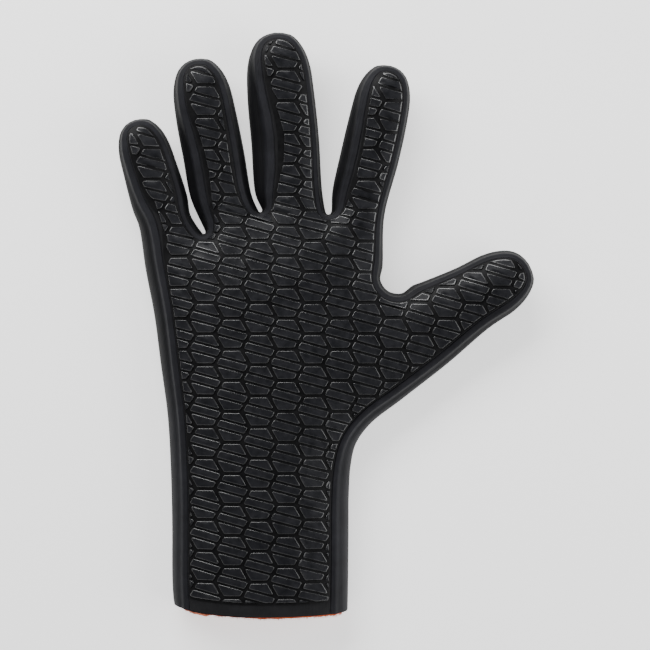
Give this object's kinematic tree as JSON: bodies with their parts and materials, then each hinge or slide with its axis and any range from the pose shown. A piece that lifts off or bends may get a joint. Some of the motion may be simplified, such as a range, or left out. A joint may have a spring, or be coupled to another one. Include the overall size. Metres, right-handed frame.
{
  "type": "diving glove",
  "caption": "Five-finger neoprene diving glove for the right hand, with a raised rubber honeycomb grip on the palm side and a long plain cuff.",
  "frame": {"origin": "on the flat back of the glove, under the middle of the wrist", "axes": "+Y from the wrist to the fingertips, +Z out of the palm, +X towards the thumb"},
  "size_m": [0.2006, 0.2814, 0.0291],
  "materials": {
    "panel_neoprene": "matte black jersey on neoprene foam",
    "side_neoprene": "matte charcoal jersey on neoprene foam",
    "grip_rubber": "semi-gloss moulded rubber tiles",
    "orange_lining": "brushed orange knit"
  },
  "bodies": {
    "root": {"palm_panel": "panel_neoprene", "back_panel": "panel_neoprene", "side_strip_pinky": "side_neoprene", "fourchette_pinky_ring": "side_neoprene", "fourchette_ring_middle": "side_neoprene", "fourchette_middle_index": "side_neoprene", "fourchette_index_thumb": "side_neoprene", "side_strip_thumb": "side_neoprene", "palm_grip": "grip_rubber", "lining": "orange_lining"}
  },
  "joints": []
}
